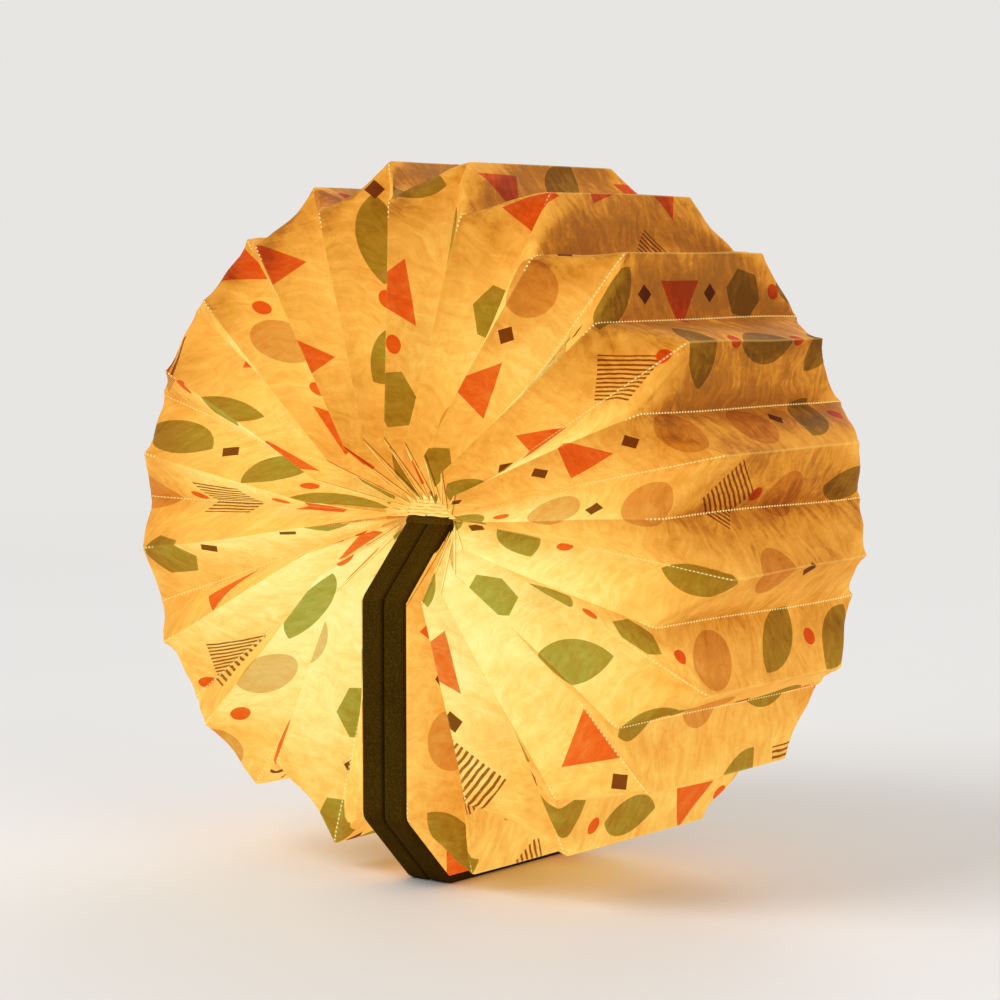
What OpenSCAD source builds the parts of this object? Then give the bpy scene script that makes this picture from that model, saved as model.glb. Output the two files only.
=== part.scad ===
// Folding book lamp: two fabric-covered boards hinged on a spine, standing back to back
// on their fore-edges with a pleated paper shade fanned full circle about the spine.
// Row frame: X along the spine (front end +X), Z up, Z = 0 at the foot of the covers,
// Y = 0 midway between the covers. Units are millimetres.

/* [Covers] */
// Length of a cover from the hinge line to the fore-edge
cover_len = 135; // [120:1:170]
// Width of a cover along the hinge line
cover_w = 132; // [120:1:170]
// Thickness of a cover with its fabric
cover_t = 9.8; // [9.4:0.1:13]
// Corner cut of the covers, along each edge
cover_corner = 27; // [22:1:32]
// Thickness of the fabric wrap
wrap_t = 0.8; // [0.5:0.1:1]
// Bevel at the wrapped edges
edge_bevel = 1; // [0.6:0.1:1.5]
// Gap between the middle plane and each cover's outer face
back_gap = 0.2; // [0.15:0.05:0.5]
// Width of the fabric turned in on the inner face
turn_in = 14; // [10:1:18]
// Thickness of the printed lining on the inner face
lining_t = 0.3; // [0.2:0.1:0.5]
// Margin between the lining and the cover's bevel
lining_margin = 0.3; // [0.2:0.1:3]

/* [Hinge] */
// Radius of the fabric bead along each hinge line
bead_r = 1.2; // [1:0.1:1.4]
// Running gap between the bead and the cover
hinge_gap = 0.3; // [0.25:0.05:0.4]
// Thickness of the hinge flap
flap_t = 0.5; // [0.4:0.1:0.6]
// Length of the flap's tab on the cover's inner face
flap_tab = 8; // [5:1:12]
// Angle that the flap wraps round the bead
flap_wrap = 50; // [30:5:55]
// Distance from the end of the flap to the end of the spine
flap_inset = 1.4; // [1:0.1:4]

/* [Spine] */
// Thickness of the spine board
spine_board_t = 1.5; // [1.2:0.1:2]
// Thickness of the fabric on the spine
spine_wrap_t = 0.6; // [0.5:0.1:0.8]
// Distance of the spine's ends inside the covers' corner cuts
spine_end_inset = 0.6; // [0.4:0.1:2]
// Width of the spine's raised middle, each side, inside the hinge line
spine_step = 2.1; // [2:0.1:3]

/* [Light bar] */
// Length of the lamp tray inside each end of the spine
tray_end_inset = 2.4; // [1:0.1:6]
// Height of the lamp tray
tray_h = 5; // [4.5:0.1:7]
// Wall and floor of the lamp tray
tray_wall = 1.2; // [1:0.1:1.5]
// Distance of the tray's sides inside the raised middle of the spine
tray_side_inset = 0.3; // [0.2:0.1:2]
// Thickness of the lamp board
led_board_t = 1; // [0.8:0.1:1.6]
// Distance of the lamp board's ends inside the tray walls, clear of the screws
led_board_end = 4.3; // [4.2:0.1:6]
// Clearance round the lamp board
board_clear = 0.2; // [0.1:0.05:0.4]
// Spacing of the light-emitting chips
led_pitch = 5.4; // [4:0.1:8]
// Length of a chip, along the spine
led_l = 3.5; // [2.8:0.1:3.6]
// Width of a chip
led_w = 2.8; // [2:0.1:3]
// Height of a chip
led_h = 0.8; // [0.6:0.1:1]
// Wall of the light diffuser
diffuser_wall = 1.2; // [0.8:0.1:1.8]
// Side of the square opening sensor
sensor_side = 2.8; // [2:0.1:3]
// Height of the opening sensor
sensor_h = 1; // [0.7:0.1:1.2]
// Distance of the opening sensor from the lamp board's end
sensor_inset = 10.5; // [8:0.5:16]
// Shank radius of the tray screws
tray_screw_r = 1.1; // [0.9:0.05:1.2]
// Head radius of the tray screws
tray_head_r = 1.9; // [1.6:0.1:2]
// Head height of the tray screws
tray_head_h = 1.2; // [0.9:0.1:1.5]

/* [Electronics in the right cover] */
// Height of the charging socket above the foot
socket_z = 52; // [48:1:60]
// Width of the charging socket's shell
socket_w = 8.94; // [8.9:0.01:9]
// Height of the charging socket's shell
socket_h = 3.2; // [3.1:0.05:3.3]
// Depth of the charging socket
socket_l = 7.35; // [7:0.05:7.5]
// Wall of the socket's shell
socket_wall = 0.35; // [0.3:0.05:0.4]
// Thickness of the socket's tongue
tongue_t = 0.7; // [0.6:0.05:0.8]
// Length of the charging board
pcb_l = 22; // [20:1:24]
// Height of the charging board
pcb_h = 24; // [22:1:28]
// Thickness of the charging board
pcb_t = 1.2; // [1:0.1:1.6]
// Thickness of cover board left under the charging board
pcb_floor = 3; // [2.6:0.1:3.2]
// Radius of the charge light
light_r = 1; // [0.8:0.1:1.2]
// Distance of the charge light from the socket's middle
light_off = 8.5; // [8:0.5:10]
// Length of the battery
battery_l = 50; // [40:1:55]
// Height of the battery
battery_h = 34; // [28:1:38]
// Thickness of the battery
battery_t = 5; // [4:0.1:5]
// Thickness of cover board left under the battery
battery_floor = 2.4; // [2:0.1:2.8]
// Clearance round the battery and the boards
pocket_clear = 0.5; // [0.3:0.1:1]
// Thickness of the pocket lid
lid_t = 1.2; // [1:0.1:1.4]
// Ledge that carries the pocket lid
lid_ledge = 3; // [2:0.5:5]
// Shank radius of the board screws
board_screw_r = 1; // [0.8:0.1:1.1]
// Head radius of the board screws
board_head_r = 1.9; // [1.6:0.1:2]
// Head height of the board screws
board_head_h = 1.2; // [1:0.1:1.5]
// Distance of the board screws from the board's edges
board_screw_edge = 3; // [2.6:0.1:4]

/* [Magnets] */
// Radius of the holding magnets
magnet_r = 6; // [4:0.5:7]
// Thickness of the holding magnets
magnet_t = 2; // [1.5:0.1:2.2]
// Distance of the holding magnets from the middle
magnet_x = 34; // [25:1:36]
// Height of the holding magnets above the foot
magnet_z = 13; // [10:1:20]
// Radius of the trigger magnet
trigger_r = 2.5; // [2:0.1:3]
// Thickness of the trigger magnet
trigger_t = 1.6; // [1:0.1:2]
// Distance of the trigger magnet inside the turned-in fabric
trigger_margin = 1; // [0.5:0.5:4]
// Clearance of the magnets in their pockets
magnet_clear = 0.05; // [0.02:0.01:0.2]

/* [Paper shade] */
// Depth of the folded paper, measured along the spine and towards it
paper_depth = 0.6; // [0.5:0.05:0.8]
// How many times deeper the paper is at its inner end, where the pleats stand nearly edge on
hub_depth = 2.5; // [2:0.1:3]
// Distance of the shade's ridges inside the covers' side edges
ridge_margin = 0.3; // [0.2:0.1:3]
// Distance of the glued folds inside the covers' side edges
glue_margin = 1; // [0.5:0.1:4]
// Distance of the shade's rim inside the fore-edge circle
rim_inset = 5.5; // [4:0.5:10]
// Height of the shade's centre above the hinge line
shade_lift = 1.5; // [1.5:0.1:2.5]
// Depth of a pleat at the rim, outwards from the spine
rim_depth = 15.5; // [10:0.5:18]
// Depth of a pleat at its front and back, along the spine
face_depth = 21.5; // [15:0.5:25]
// Distance of the shade's inner corners beyond the covers' corner cut
inner_margin = 2.4; // [1:0.1:6]
// Distance by which the ridges next to the covers end short of the others
end_ridge_drop = 12; // [0:1:14]
// Radius where the pleats' valleys start at the spine's ends
tip_r = 5; // [4.5:0.1:6.5]
// Gap between the pleats' tips and the spine's ends
tip_gap = 0.4; // [0.3:0.1:0.8]
// Gap between the shade and the linings, and between neighbouring pleats
paper_gap = 0.3; // [0.25:0.05:0.4]
// Turn of the whole fan towards the right cover, in degrees
fan_turn = 4.2; // [0:0.1:5]
// Gathering of the pleats towards the top, in degrees
fan_gather = 6.4; // [0:0.1:8]
// Lean of the top of the fan towards the left cover, in degrees
fan_lean = 2.4; // [0:0.1:4]
// How far the folds' bases bunch up towards the covers: 0 spaces them evenly
fan_bunch = 0.7; // [0.6:0.05:1]
// Distance of the outermost pleat hinge lines inside the cover hinge lines
pleat_hinge_inset = 0.6; // [0.5:0.1:2]

/* [Hidden] */
$fn = 48;
eps = 1;           // overshoot of cutting bodies
PLEATS = 20;

hub_z = cover_len;
hinge_y = back_gap + cover_t;
top_gap = bead_r + hinge_gap;
inner_y = hinge_y;                       // inner faces of the covers at rest
core_y0 = back_gap + wrap_t;
core_y1 = inner_y - wrap_t;
half_w = cover_w / 2;
diag = sqrt(2) - 1;

// ---- covers ----
// Cover outline in X and Z with its edges moved in by e
function cover_outline(e) = let(c = cover_corner, d = e * diag) [
  [half_w - c - d, e], [half_w - e, c + d], [half_w - e, hub_z - c - d], [half_w - c + top_gap - d, hub_z - top_gap - e],
  [-(half_w - c + top_gap - d), hub_z - top_gap - e], [-(half_w - e), hub_z - c - d], [-(half_w - e), c + d], [-(half_w - c - d), e]];
module slab(y0, y1, e) translate([0, y1, 0]) rotate([90, 0, 0]) linear_extrude(y1 - y0) polygon(cover_outline(e));
module y_disc(x, z, y0, y1, r) translate([x, y1, z]) rotate([90, 0, 0]) cylinder(r = r, h = y1 - y0);
module x_disc(y, z, x0, x1, r) translate([x0, y, z]) rotate([0, 90, 0]) cylinder(r = r, h = x1 - x0);
module box(x0, x1, y0, y1, z0, z1) translate([x0, y0, z0]) cube([x1 - x0, y1 - y0, z1 - z0]);

bevel = min(edge_bevel, 1.4 * wrap_t);
module cover_body() hull() {
  slab(back_gap + bevel, inner_y - bevel, 0);
  slab(back_gap, inner_y, bevel);
}
module core_body() {
  slab(core_y0, core_y1, wrap_t);
  slab(core_y1 - eps, inner_y, turn_in);
}
module magnet_discs(grow) for (s = [-1, 1]) y_disc(s * magnet_x, magnet_z, core_y0 - (grow > 0 ? eps : 0), core_y0 + magnet_t, magnet_r + grow);
lining_top = hub_z - top_gap - flap_tab - hinge_gap;
module lining() intersection() {
  slab(inner_y, inner_y + lining_t, bevel + lining_margin);
  box(-half_w, half_w, inner_y - eps, inner_y + lining_t + eps, 0, lining_top);
}
// hinge flap: a tab on the inner face and an arc round the bead
spine_half = half_w - cover_corner - spine_end_inset;
flap_half = spine_half - flap_inset;
flap_r1 = bead_r + hinge_gap;
flap_r2 = flap_r1 + flap_t;
module hinge_flap() {
  box(-flap_half, flap_half, inner_y, inner_y + flap_t, hub_z - top_gap - flap_tab, hub_z - flap_r1);
  difference() {
    intersection() {
      x_disc(hinge_y, hub_z, -flap_half, flap_half, flap_r2);
      translate([-flap_half - eps, hinge_y, hub_z]) rotate([90, 0, 90]) linear_extrude(2 * (flap_half + eps))
        polygon([[0, 0], [0, -2 * flap_r2], 2 * flap_r2 * [sin(flap_wrap / 2), -cos(flap_wrap / 2)], 2 * flap_r2 * [sin(flap_wrap), -cos(flap_wrap)]]);
    }
    x_disc(hinge_y, hub_z, -flap_half - eps, flap_half + eps, flap_r1);
  }
}

// ---- electronics in the right cover; its back edge is at -X ----
pcb_y0 = core_y0 + pcb_floor;
pcb_y1 = pcb_y0 + pcb_t;
socket_x0 = -half_w + 0.1;
pcb_x0 = socket_x0 + socket_l - 1.5;
pcb_x1 = pcb_x0 + pcb_l;
pcb_z0 = socket_z - pcb_h / 2;
socket_y = pcb_y1 + socket_h / 2;
light_y = pcb_y1 + light_r;
light_z = socket_z + light_off;
battery_x0 = pcb_x1 + 8;
battery_y0 = core_y0 + battery_floor;
lid_y0 = inner_y - lid_t;
module stadium(x0, x1, y, z, h, w) {
  box(x0, x1, y - h / 2, y + h / 2, z - (w - h) / 2, z + (w - h) / 2);
  for (s = [-1, 1]) x_disc(y, z + s * (w - h) / 2, x0, x1, h / 2);
}
module pcb_pocket() {
  box(pcb_x0 - pocket_clear, pcb_x1 + pocket_clear, pcb_y0, inner_y + eps, pcb_z0 - pocket_clear, pcb_z0 + pcb_h + pocket_clear);
  box(-half_w - eps, pcb_x0, pcb_y1 - 0.1, core_y1 + 0.01, socket_z - socket_w / 2 - 0.3, socket_z + socket_w / 2 + 0.3);
  x_disc(light_y, light_z, -half_w - eps, pcb_x0, light_r + 0.1);
}
module battery_pocket() box(battery_x0 - pocket_clear, battery_x0 + battery_l + pocket_clear, battery_y0, inner_y + eps,
  socket_z - battery_h / 2 - pocket_clear, socket_z + battery_h / 2 + pocket_clear);
lid_x0 = -(half_w - turn_in);
lid_x1 = battery_x0 + battery_l + pocket_clear + lid_ledge;
lid_z0 = socket_z - battery_h / 2 - pocket_clear - lid_ledge;
lid_z1 = socket_z + battery_h / 2 + pocket_clear + lid_ledge;
module lid_body(over = 0) intersection() {
  box(lid_x0, lid_x1, lid_y0, inner_y + over, lid_z0, lid_z1);
  slab(lid_y0, inner_y + over, turn_in);
}
module lead_channels() {
  box(pcb_x1, battery_x0, pcb_y0 + 1, lid_y0, socket_z - 3, socket_z + 3);
  box(battery_x0 + 6, battery_x0 + 10, lid_y0 - 2.4, inner_y + eps, lid_z1 - lid_ledge - eps, hub_z - top_gap - turn_in);
}
module board_screw_at() for (s = [-1, 1]) translate([pcb_x1 - board_screw_edge, 0, socket_z + s * (pcb_h / 2 - board_screw_edge)]) children();

// ---- spine, in X, Y and Z about the hub line ----
spine_z0 = hub_z - bead_r;                                   // underside of the spine
board_z0 = spine_z0 + spine_wrap_t;
spine_z1 = board_z0 + spine_board_t + spine_wrap_t;          // top of the raised middle
mid_y = hinge_y - spine_step;
tray_half = spine_half - tray_end_inset;
tray_y = mid_y - tray_side_inset;
tray_z0 = spine_z1;
tray_z1 = tray_z0 + tray_h;
floor_z = tray_z0 + tray_wall;
led_half = tray_half - tray_wall - led_board_end;
led_z0 = floor_z;
led_z1 = led_z0 + led_board_t;
trigger_x = led_half - sensor_inset;
led_count = floor((2 * led_half - led_l) / led_pitch) + 1;
screw_x = tray_half - tray_wall - led_board_end / 2;
module tray_screw_shafts(r, z0) for (s = [-1, 1]) translate([s * screw_x, 0, z0]) cylinder(r = r, h = floor_z - z0);
screw_end = board_z0 + 0.2;

// ---- pleats ----
function fold_angle(i) = i == 0 ? 0 : i == 2 * PLEATS ? 360 :
  let(a = 180 * i / PLEATS) a - fan_turn + fan_gather * sin(a) + fan_lean * (1 - cos(a)) / 2;
shade_z = hub_z + shade_lift;
paper_half = half_w - ridge_margin;
glue_half = half_w - glue_margin;
rim_r = cover_len + shade_lift - rim_inset;
ridge_r = rim_r - rim_depth;
glue_r = cover_len - cover_corner + shade_lift - 0.5;
inner_r = cover_corner + inner_margin;
valley_half = paper_half - face_depth;
tip_half = spine_half + tip_gap + paper_depth * hub_depth;
spread = inner_y + lining_t + paper_gap;
trigger_z = hub_z - top_gap - turn_in - trigger_margin - trigger_r;
// place of a fold's base across the spine, from 1 at the right cover to -1 at the left cover
function fold_place(i) = (1 - fan_bunch) * (1 - i / PLEATS) + fan_bunch * cos(90 * i / PLEATS);
// point of the shade at X, fold i and radius r
function shade_pt(x, i, r) = [x, spread * fold_place(i) + r * sin(fold_angle(i)), shade_z - r * cos(fold_angle(i))];
// the folds of a panel are cut into STEPS short pieces, so that its twist comes out smooth
STEPS = 4;
LAST = 2 * STEPS + 1;
function front_back(x0, x1, r0, r1, i) = concat(
  [for (n = [0:STEPS]) shade_pt(x0 + (x1 - x0) * n / STEPS, i, r0 + (r1 - r0) * n / STEPS)],
  [for (n = [STEPS:-1:0]) shade_pt(-x0 - (x1 - x0) * n / STEPS, i, r0 + (r1 - r0) * n / STEPS)]);
function ridge_chain(i) = let(on = i == 0 || i == 2 * PLEATS, next = i == 2 || i == 2 * PLEATS - 2, h = on ? glue_half : paper_half)
  front_back(h, h, inner_r, on ? glue_r : next ? ridge_r - end_ridge_drop : ridge_r, i);
function valley_chain(i) = front_back(tip_half, valley_half, tip_r, rim_r, i);
function quad(a, b, c, d) = [[a, b, c], [a, c, d]];
// faces of the strip between rows u and v
function strip(u, v) = [for (j = [0:LAST - 1]) each j < STEPS ? quad(u + j + 1, v + j + 1, v + j, u + j) : quad(u + j, u + j + 1, v + j + 1, v + j)];
// the paper's inner side: a row of points moved inwards along the spine and, at the rim, towards it
function row_depth(j) = paper_depth * (1 + (hub_depth - 1) * pow(1 - min(j, LAST - j) / STEPS, 2));
function inner_row(row, i) = [for (j = [0:LAST]) row[j] + [(j <= STEPS ? -1 : 1) * row_depth(j), 0, 0]
  + (j == STEPS || j == STEPS + 1 ? -paper_depth : 0) * [0, sin(fold_angle(i)), -cos(fold_angle(i))]];
// One pleat of folded paper: ridge, valley, ridge, as a thin closed sheet
module pleat(k) {
  i = 2 * k - 1;
  t = [0, cos(fold_angle(i)), sin(fold_angle(i))];            // direction round the spine
  a = [for (p = ridge_chain(i - 1)) p + paper_gap / 2 * t];
  q = valley_chain(i);
  b = [for (p = ridge_chain(i + 1)) p - paper_gap / 2 * t];
  n = LAST + 1;                                              // points in a row: a, q, b, then their inner rows
  faces = concat([for (f = concat(strip(0, n), strip(n, 2 * n))) [f[2], f[1], f[0]]], strip(3 * n, 4 * n), strip(4 * n, 5 * n),
    [for (j = [0:LAST - 1]) each concat(quad(j, j + 1, 3 * n + j + 1, 3 * n + j), quad(2 * n + j, 5 * n + j, 5 * n + j + 1, 2 * n + j + 1))],
    [for (r = [0, n]) each concat(quad(r, r + 3 * n, r + 4 * n, r + n), quad(r + LAST, r + n + LAST, r + 4 * n + LAST, r + 3 * n + LAST))]);
  polyhedron(concat(a, q, b, inner_row(a, i - 1), inner_row(q, i), inner_row(b, i + 1)), faces);
}

// ---- nodes ----
module spine_board() color("#6b5d45") difference() {
  box(-spine_half + spine_wrap_t, spine_half - spine_wrap_t, -mid_y + spine_wrap_t, mid_y - spine_wrap_t, board_z0, board_z0 + spine_board_t);
  tray_screw_shafts(tray_screw_r + magnet_clear, board_z0 - eps);
}
module spine_wrap() color("#4a4a26") difference() {
  union() {
    box(-spine_half, spine_half, -mid_y, mid_y, spine_z0, spine_z1);
    box(-spine_half, spine_half, -hinge_y, hinge_y, spine_z0, hub_z + bead_r / 2);
    for (s = [-1, 1]) x_disc(s * hinge_y, hub_z, -spine_half, spine_half, bead_r);
  }
  box(-spine_half + spine_wrap_t, spine_half - spine_wrap_t, -mid_y + spine_wrap_t, mid_y - spine_wrap_t, board_z0, board_z0 + spine_board_t);
  tray_screw_shafts(tray_screw_r + magnet_clear, board_z0 + spine_board_t - 0.1);
}
module light_tray() color("#d8d4c8") difference() {
  box(-tray_half, tray_half, -tray_y, tray_y, tray_z0, tray_z1);
  box(-tray_half + tray_wall, tray_half - tray_wall, -tray_y + tray_wall, tray_y - tray_wall, floor_z, tray_z1 + eps);
  tray_screw_shafts(tray_screw_r + magnet_clear, tray_z0 - eps);
}
module led_board() color("#f4f4f0") box(-led_half, led_half, -tray_y + tray_wall + board_clear, tray_y - tray_wall - board_clear, led_z0, led_z1);
module leds() color("#ffe9a8") for (n = [0:led_count - 1])
  translate([(n - (led_count - 1) / 2) * led_pitch, 0, led_z1]) translate([-led_l / 2, -led_w / 2, 0]) cube([led_l, led_w, led_h]);
module light_diffuser() color("#fff3cf") difference() {
  intersection() {
    x_disc(0, tray_z1, -tray_half, tray_half, tray_y);
    box(-tray_half - eps, tray_half + eps, -tray_y - eps, tray_y + eps, tray_z1, tray_z1 + tray_y + eps);
  }
  x_disc(0, tray_z1, -tray_half + diffuser_wall, tray_half - diffuser_wall, tray_y - diffuser_wall);
}
module tray_screws() color("#9a9a9a") {
  tray_screw_shafts(tray_screw_r, screw_end);
  for (s = [-1, 1]) translate([s * screw_x, 0, floor_z]) cylinder(r = tray_head_r, h = tray_head_h);
}
module opening_sensor() color("#222222") box(trigger_x - sensor_side / 2, trigger_x + sensor_side / 2, -led_w / 2 - 0.3 - sensor_side, -led_w / 2 - 0.3, led_z1, led_z1 + sensor_h);

module right_board() color("#b59a6c") difference() {
  core_body();
  magnet_discs(magnet_clear);
  pcb_pocket();
  battery_pocket();
  lead_channels();
  lid_body(eps);
  board_screw_at() y_disc(0, 0, core_y0 + 0.6, pcb_y0 + eps, board_screw_r + magnet_clear);
}
module right_wrap() color("#4a4a26") difference() {
  cover_body();
  core_body();
  stadium(-half_w - eps, -half_w + 3, socket_y, socket_z, socket_h + 0.2, socket_w + 0.2);
  x_disc(light_y, light_z, -half_w - eps, -half_w + 3, light_r + 0.1);
}
module right_lining() color("#e8c98a") lining();
module right_hinge_flap() color("#55552c") hinge_flap();
module right_magnets() color("#b8b8bc") magnet_discs(0);
module battery() color("#7f8a92") box(battery_x0, battery_x0 + battery_l, battery_y0, battery_y0 + battery_t, socket_z - battery_h / 2, socket_z + battery_h / 2);
module charge_board() color("#1f6b3a") difference() {
  box(pcb_x0, pcb_x1, pcb_y0, pcb_y1, pcb_z0, pcb_z0 + pcb_h);
  board_screw_at() y_disc(0, 0, pcb_y0 - eps, pcb_y1 + eps, board_screw_r + magnet_clear);
}
module charge_socket() color("#c4c4c8") {
  difference() {
    stadium(socket_x0, socket_x0 + socket_l, socket_y, socket_z, socket_h, socket_w);
    stadium(socket_x0 - eps, socket_x0 + socket_l - 1, socket_y, socket_z, socket_h - 2 * socket_wall, socket_w - 2 * socket_wall);
  }
  box(socket_x0 + 0.8, socket_x0 + socket_l - 0.9, socket_y - tongue_t / 2, socket_y + tongue_t / 2, socket_z - socket_w / 2 + 1.3, socket_z + socket_w / 2 - 1.3);
}
module charge_light() color("#d8f4d8") x_disc(light_y, light_z, socket_x0, pcb_x0 + 1, light_r);
module board_screws() color("#9a9a9a") board_screw_at() {
  y_disc(0, 0, core_y0 + 0.8, pcb_y1, board_screw_r);
  y_disc(0, 0, pcb_y1, pcb_y1 + board_head_h, board_head_r);
}
module pocket_lid() color("#a8905f") lid_body();

module left_board() color("#b59a6c") mirror([0, 1, 0]) difference() {
  core_body();
  magnet_discs(magnet_clear);
  y_disc(trigger_x, trigger_z, inner_y - trigger_t, inner_y + eps, trigger_r + magnet_clear);
}
module left_wrap() color("#4a4a26") mirror([0, 1, 0]) difference() {
  cover_body();
  core_body();
}
module left_lining() color("#e8c98a") mirror([0, 1, 0]) lining();
module left_hinge_flap() color("#55552c") mirror([0, 1, 0]) hinge_flap();
module left_magnets() color("#b8b8bc") mirror([0, 1, 0]) magnet_discs(0);
module trigger_magnet() color("#b8b8bc") mirror([0, 1, 0]) y_disc(trigger_x, trigger_z, inner_y - trigger_t, inner_y, trigger_r);

module pleat_01() color("#f2c46a") pleat(1);
module pleat_02() color("#f6d68a") pleat(2);
module pleat_03() color("#f2c46a") pleat(3);
module pleat_04() color("#f6d68a") pleat(4);
module pleat_05() color("#f2c46a") pleat(5);
module pleat_06() color("#f6d68a") pleat(6);
module pleat_07() color("#f2c46a") pleat(7);
module pleat_08() color("#f6d68a") pleat(8);
module pleat_09() color("#f2c46a") pleat(9);
module pleat_10() color("#f6d68a") pleat(10);
module pleat_11() color("#f2c46a") pleat(11);
module pleat_12() color("#f6d68a") pleat(12);
module pleat_13() color("#f2c46a") pleat(13);
module pleat_14() color("#f6d68a") pleat(14);
module pleat_15() color("#f2c46a") pleat(15);
module pleat_16() color("#f6d68a") pleat(16);
module pleat_17() color("#f2c46a") pleat(17);
module pleat_18() color("#f6d68a") pleat(18);
module pleat_19() color("#f2c46a") pleat(19);
module pleat_20() color("#f6d68a") pleat(20);

spine_board();
spine_wrap();
light_tray();
led_board();
leds();
light_diffuser();
tray_screws();
opening_sensor();
right_board();
right_wrap();
right_lining();
right_hinge_flap();
right_magnets();
battery();
charge_board();
charge_socket();
charge_light();
board_screws();
pocket_lid();
left_board();
left_wrap();
left_lining();
left_hinge_flap();
left_magnets();
trigger_magnet();
pleat_01();
pleat_02();
pleat_03();
pleat_04();
pleat_05();
pleat_06();
pleat_07();
pleat_08();
pleat_09();
pleat_10();
pleat_11();
pleat_12();
pleat_13();
pleat_14();
pleat_15();
pleat_16();
pleat_17();
pleat_18();
pleat_19();
pleat_20();
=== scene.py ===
import math

import bmesh
import bpy
import numpy as np
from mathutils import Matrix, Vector


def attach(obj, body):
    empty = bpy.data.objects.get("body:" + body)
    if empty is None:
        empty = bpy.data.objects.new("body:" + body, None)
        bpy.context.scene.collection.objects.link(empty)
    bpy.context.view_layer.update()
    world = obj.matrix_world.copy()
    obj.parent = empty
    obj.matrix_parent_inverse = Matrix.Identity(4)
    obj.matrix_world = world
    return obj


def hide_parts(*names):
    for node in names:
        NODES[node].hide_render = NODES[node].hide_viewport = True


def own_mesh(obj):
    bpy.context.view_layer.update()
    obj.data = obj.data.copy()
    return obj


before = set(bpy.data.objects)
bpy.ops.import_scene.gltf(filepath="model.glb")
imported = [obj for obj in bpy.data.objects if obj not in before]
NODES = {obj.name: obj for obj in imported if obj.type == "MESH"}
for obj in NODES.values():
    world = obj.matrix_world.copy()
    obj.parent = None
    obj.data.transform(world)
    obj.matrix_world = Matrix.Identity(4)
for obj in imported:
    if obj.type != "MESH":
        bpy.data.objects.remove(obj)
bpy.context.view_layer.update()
HUB_Z = 0.135           # height of the hinge line, where the spine and the covers meet


# ---- camera: the photograph's view, from a fit to the corners of the paper ----
def make_camera():
    az, el, distance = math.radians(37.79), math.radians(5.01), 1.080
    hub = Vector((0, 0, HUB_Z))
    back = Vector((math.cos(el) * math.cos(az), math.cos(el) * math.sin(az), math.sin(el)))
    right = Vector((-math.sin(az), math.cos(az), 0))
    up = back.cross(right)
    data = bpy.data.cameras.new("camera")
    data.lens, data.sensor_width, data.sensor_fit = 102.42, 36, "HORIZONTAL"
    data.clip_start, data.clip_end = 0.02, 50
    cam = bpy.data.objects.new("camera", data)
    bpy.context.collection.objects.link(cam)
    cam.location = hub + back * distance
    aim = hub + right * 0.00247 + up * 0.00481
    cam.rotation_euler = (aim - cam.location).to_track_quat("-Z", "Y").to_euler()
    bpy.context.scene.camera = cam


make_camera()


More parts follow.
